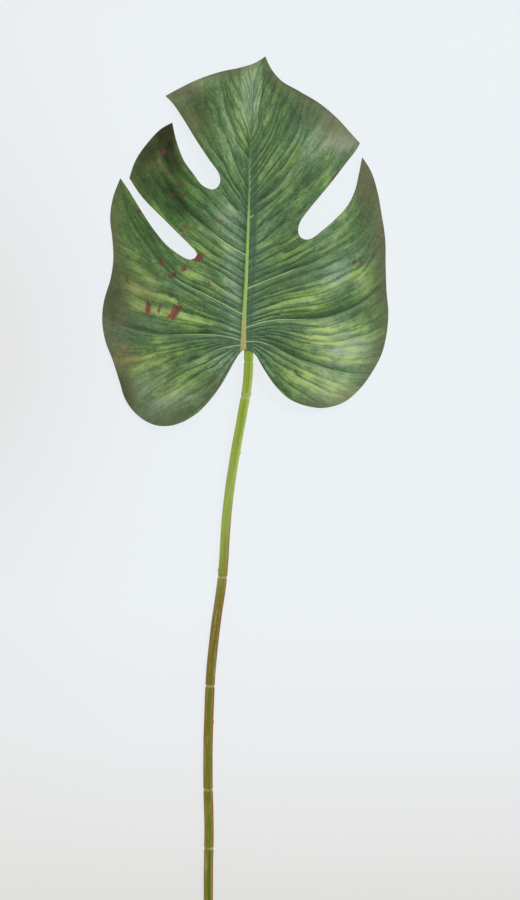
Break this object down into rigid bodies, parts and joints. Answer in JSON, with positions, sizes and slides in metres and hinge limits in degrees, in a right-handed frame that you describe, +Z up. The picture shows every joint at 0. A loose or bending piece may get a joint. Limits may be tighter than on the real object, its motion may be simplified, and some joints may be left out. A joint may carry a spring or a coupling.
{
  "type": "monstera leaf",
  "caption": "Split monstera leaf on a long bare stem: one thin waved blade with deep slits and a pointed tip, lying face up, with its stem running on under it as a rib.",
  "frame": {"origin": "on the surface the leaf lies on, under the middle of the whole leaf's box", "axes": "+Y runs from the cut end of the stem towards the leaf's tip, +X to the leaf's right seen from its face, and +Z up out of the face"},
  "size_m": [0.2663, 0.8006, 0.0248],
  "materials": {
    "blade": "satin leaf-green sheet with fine veins, brownish edges and small red flecks",
    "stem": "satin yellow-green at the blade, red-brown along its edges lower down, with pale rings"
  },
  "bodies": {
    "root": {"leaf_blade": "blade", "stem": "stem"}
  },
  "joints": []
}
